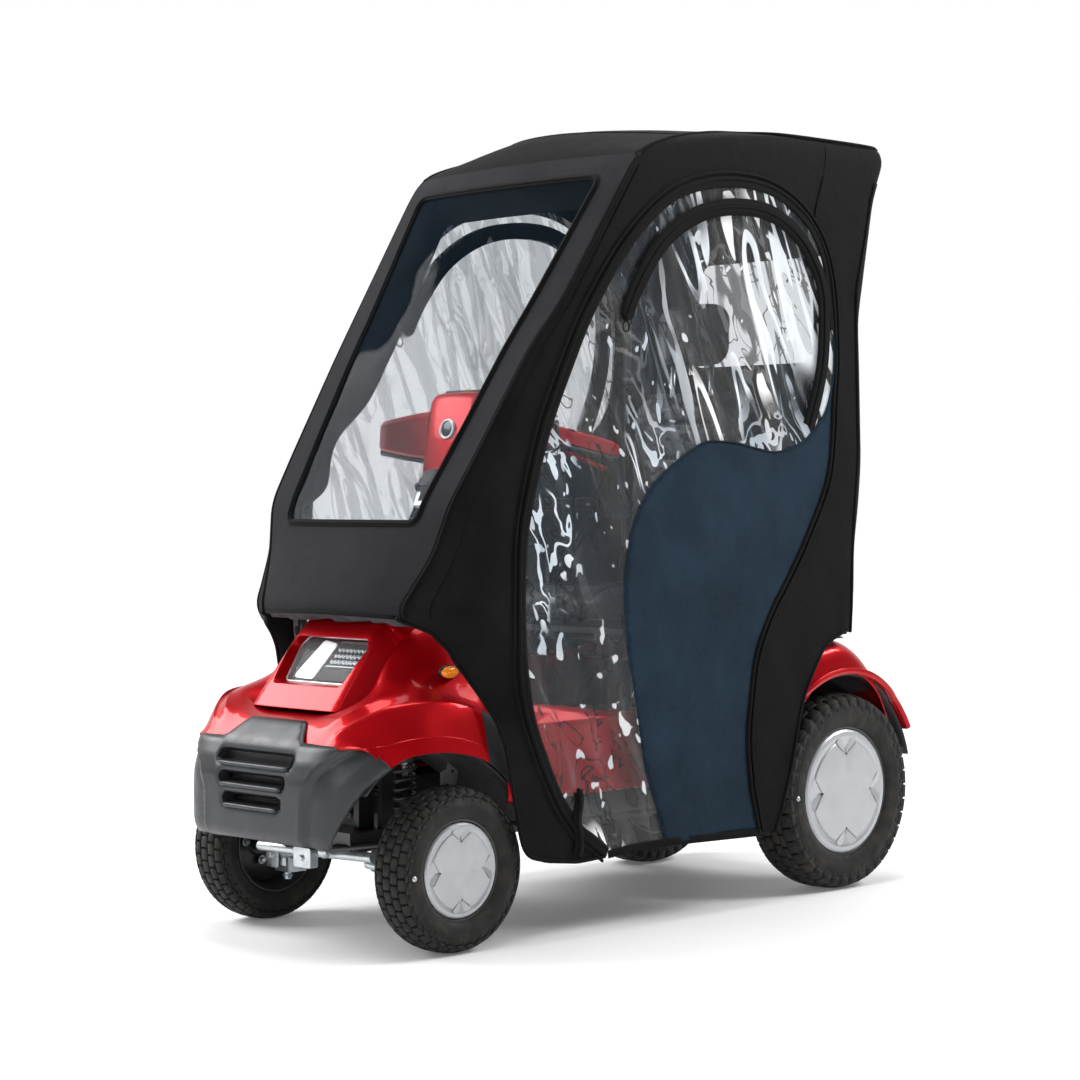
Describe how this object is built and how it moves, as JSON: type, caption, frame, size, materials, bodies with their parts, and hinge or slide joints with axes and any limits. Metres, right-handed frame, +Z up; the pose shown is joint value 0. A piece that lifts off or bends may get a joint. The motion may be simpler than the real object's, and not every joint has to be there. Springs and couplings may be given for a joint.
{
  "type": "mobility scooter",
  "caption": "Four-wheel mobility scooter with sprung wheels, tiller steering, captain seat and a full fabric weather canopy with hinged door flaps",
  "frame": {"origin": "On the ground, under the middle of the machine's bounding box", "axes": "+X to the rider's left, -Y straight ahead, +Z up"},
  "size_m": [0.7198, 1.643, 1.69],
  "materials": {
    "red_paint": "high-gloss metallic red",
    "dark_plastic": "satin textured dark grey",
    "black_plastic": "satin black",
    "frame_steel": "black powder coat",
    "zinc": "bright zinc plate",
    "alloy": "silver paint",
    "tyre": "moulded tread rubber",
    "rubber": "ribbed rubber",
    "vinyl": "grained seat vinyl",
    "canopy_fabric": "coated polyester weave",
    "door_fabric": "navy coated fabric with clear flexible window",
    "clear_pane": "clear flexible sheet",
    "lens": "clear polycarbonate",
    "lamp_bright": "bright reflector and white diodes",
    "amber": "amber lens",
    "red_lens": "red lens",
    "button_yellow": "moulded plastic"
  },
  "bodies": {
    "chassis": {"chassis_frame": "frame_steel", "floor_tray": "black_plastic", "floor_mat": "rubber", "side_skirts": "red_paint", "front_body_shell": "red_paint", "front_bumper": "dark_plastic", "headlamp_unit": "lamp_bright", "headlamp_lens": "lens", "indicators": "amber", "rear_body_shell": "red_paint", "rear_bumper": "black_plastic", "tail_lamps": "red_lens", "batteries": "black_plastic", "controller": "alloy", "front_shocks": "zinc", "rear_shocks": "zinc", "column_tube": "frame_steel", "seat_post": "frame_steel", "canopy_frame": "frame_steel", "canopy_front": "canopy_fabric", "canopy_roof": "canopy_fabric", "canopy_side_left": "canopy_fabric", "canopy_side_right": "canopy_fabric", "canopy_rear": "canopy_fabric", "windscreen": "clear_pane", "rear_window": "clear_pane"},
    "front_link_left": {"front_arm_left": "zinc"},
    "steer_left": {"knuckle_left": "zinc"},
    "front_wheel_left": {"front_tyre_left": "tyre", "front_rim_left": "alloy"},
    "front_link_right": {"front_arm_right": "zinc"},
    "steer_right": {"knuckle_right": "zinc"},
    "front_wheel_right": {"front_tyre_right": "tyre", "front_rim_right": "alloy"},
    "drive": {"transaxle": "alloy", "motor": "black_plastic"},
    "freewheel": {"freewheel_lever": "button_yellow"},
    "rear_wheel_left": {"rear_tyre_left": "tyre", "rear_rim_left": "alloy"},
    "rear_wheel_right": {"rear_tyre_right": "tyre", "rear_rim_right": "alloy"},
    "steering": {"steering_shaft": "frame_steel"},
    "cross_rod": {"track_rod": "zinc"},
    "tiller": {"tiller_head": "red_paint", "handlebar": "rubber", "dash_panel": "black_plastic"},
    "throttle": {"throttle_lever": "black_plastic"},
    "brake": {"brake_lever": "red_paint"},
    "key_body": {"key": "zinc"},
    "dial": {"speed_dial": "black_plastic"},
    "horn": {"horn_button": "button_yellow"},
    "swivel": {"seat_swivel": "frame_steel"},
    "seat": {"seat_pan": "frame_steel", "seat_cushion": "vinyl"},
    "back": {"backrest": "vinyl"},
    "headrest_body": {"headrest": "vinyl"},
    "arm_left": {"armrest_left": "black_plastic"},
    "arm_right": {"armrest_right": "black_plastic"},
    "flap_left": {"door_left": "door_fabric"},
    "flap_right": {"door_right": "door_fabric"}
  },
  "joints": [
    {"name": "front_travel_left", "type": "hinge", "parent": "chassis", "child": "front_link_left", "pos_m": [0.13, -0.5605, 0.163], "axis": [0, -1, 0], "range_deg": [-3, 3], "stiffness_Nm_per_rad": 840, "springref_deg": -2.75},
    {"name": "kingpin_left", "type": "hinge", "parent": "front_link_left", "child": "steer_left", "pos_m": [0.215, -0.5605, 0.163], "axis": [0, 0, 1], "range_deg": [-28, 28]},
    {"name": "front_wheel_spin_left", "type": "hinge", "parent": "steer_left", "child": "front_wheel_left", "pos_m": [0.288, -0.5605, 0.163], "axis": [1, 0, 0], "continuous": true},
    {"name": "front_travel_right", "type": "hinge", "parent": "chassis", "child": "front_link_right", "pos_m": [-0.13, -0.5605, 0.163], "axis": [0, 1, 0], "range_deg": [-3, 3], "stiffness_Nm_per_rad": 840, "springref_deg": -2.75},
    {"name": "kingpin_right", "type": "hinge", "parent": "front_link_right", "child": "steer_right", "pos_m": [-0.215, -0.5605, 0.163], "axis": [0, 0, 1], "range_deg": [-28, 28]},
    {"name": "front_wheel_spin_right", "type": "hinge", "parent": "steer_right", "child": "front_wheel_right", "pos_m": [-0.288, -0.5605, 0.163], "axis": [1, 0, 0], "continuous": true},
    {"name": "rear_travel", "type": "hinge", "parent": "chassis", "child": "drive", "pos_m": [0, 0.3995, 0.25], "axis": [1, 0, 0], "range_deg": [-3, 4], "stiffness_Nm_per_rad": 4500, "springref_deg": -2.01},
    {"name": "freewheel_release", "type": "hinge", "parent": "drive", "child": "freewheel", "pos_m": [0.06, 0.4285, 0.221], "axis": [0, 1, 0], "range_deg": [-35, 0]},
    {"name": "rear_wheel_spin_left", "type": "hinge", "parent": "drive", "child": "rear_wheel_left", "pos_m": [0.2895, 0.6005, 0.221], "axis": [1, 0, 0], "continuous": true},
    {"name": "rear_wheel_spin_right", "type": "hinge", "parent": "drive", "child": "rear_wheel_right", "pos_m": [-0.2895, 0.6005, 0.221], "axis": [1, 0, 0], "continuous": true},
    {"name": "steering_turn", "type": "hinge", "parent": "chassis", "child": "steering", "pos_m": [0, -0.6075, 0.3], "axis": [0, 0.4226, 0.9063], "range_deg": [-20, 20]},
    {"name": "track_rod_slide", "type": "slide", "parent": "chassis", "child": "cross_rod", "axis": [1, 0, 0], "range_m": [-0.03, 0.03]},
    {"name": "tiller_tilt", "type": "hinge", "parent": "steering", "child": "tiller", "pos_m": [0, -0.32646, 0.9027], "axis": [1, 0, 0], "range_deg": [-18, 12]},
    {"name": "throttle_push", "type": "hinge", "parent": "tiller", "child": "throttle", "pos_m": [0, -0.1795, 0.983], "axis": [0, 0, 1], "range_deg": [-12, 12], "stiffness_Nm_per_rad": 0.8},
    {"name": "brake_squeeze", "type": "hinge", "parent": "tiller", "child": "brake", "pos_m": [0.2515, -0.1955, 0.985], "axis": [1, 0, 0], "range_deg": [0, 9], "stiffness_Nm_per_rad": 3, "springref_deg": -5.73},
    {"name": "key_turn", "type": "hinge", "parent": "tiller", "child": "key_body", "pos_m": [0.042, -0.2234, 1.09793], "axis": [0, 0.6097, 0.7926], "range_deg": [-90, 0]},
    {"name": "dial_turn", "type": "hinge", "parent": "tiller", "child": "dial", "pos_m": [-0.042, -0.2234, 1.09793], "axis": [0, 0.6097, 0.7926], "range_deg": [-135, 135]},
    {"name": "horn_press", "type": "slide", "parent": "tiller", "child": "horn", "axis": [0, -0.6097, -0.7926], "range_m": [0, 0.002], "stiffness_N_per_m": 800, "springref_m": -0.001},
    {"name": "seat_turn", "type": "hinge", "parent": "chassis", "child": "swivel", "pos_m": [0, 0.2195, 0.5], "axis": [0, 0, 1], "range_deg": [-90, 90]},
    {"name": "seat_slide", "type": "slide", "parent": "swivel", "child": "seat", "axis": [0, -1, 0], "range_m": [0, 0.04]},
    {"name": "back_fold", "type": "hinge", "parent": "seat", "child": "back", "pos_m": [0, 0.4195, 0.645], "axis": [1, 0, 0], "range_deg": [0, 25]},
    {"name": "headrest_height", "type": "slide", "parent": "back", "child": "headrest_body", "axis": [0, 0.0523, 0.9986], "range_m": [0, 0.06]},
    {"name": "armrest_lift_left", "type": "hinge", "parent": "back", "child": "arm_left", "pos_m": [0.234, 0.39044, 0.85481], "axis": [-1, 0, 0], "range_deg": [0, 87]},
    {"name": "armrest_lift_right", "type": "hinge", "parent": "back", "child": "arm_right", "pos_m": [-0.234, 0.39044, 0.85481], "axis": [-1, 0, 0], "range_deg": [0, 87]},
    {"name": "door_swing_left", "type": "hinge", "parent": "chassis", "child": "flap_left", "pos_m": [0.362, 0.5705, 0.8], "axis": [0, 0, 1], "range_deg": [0, 95]},
    {"name": "door_swing_right", "type": "hinge", "parent": "chassis", "child": "flap_right", "pos_m": [-0.362, 0.5705, 0.8], "axis": [0, 0, -1], "range_deg": [0, 95]}
  ],
  "couplings": [
    {"joint": "kingpin_left", "follows": "steering_turn", "ratio": 1.4},
    {"joint": "kingpin_right", "follows": "steering_turn", "ratio": 1.4},
    {"joint": "track_rod_slide", "follows": "steering_turn", "m_per_rad": -0.0812}
  ]
}
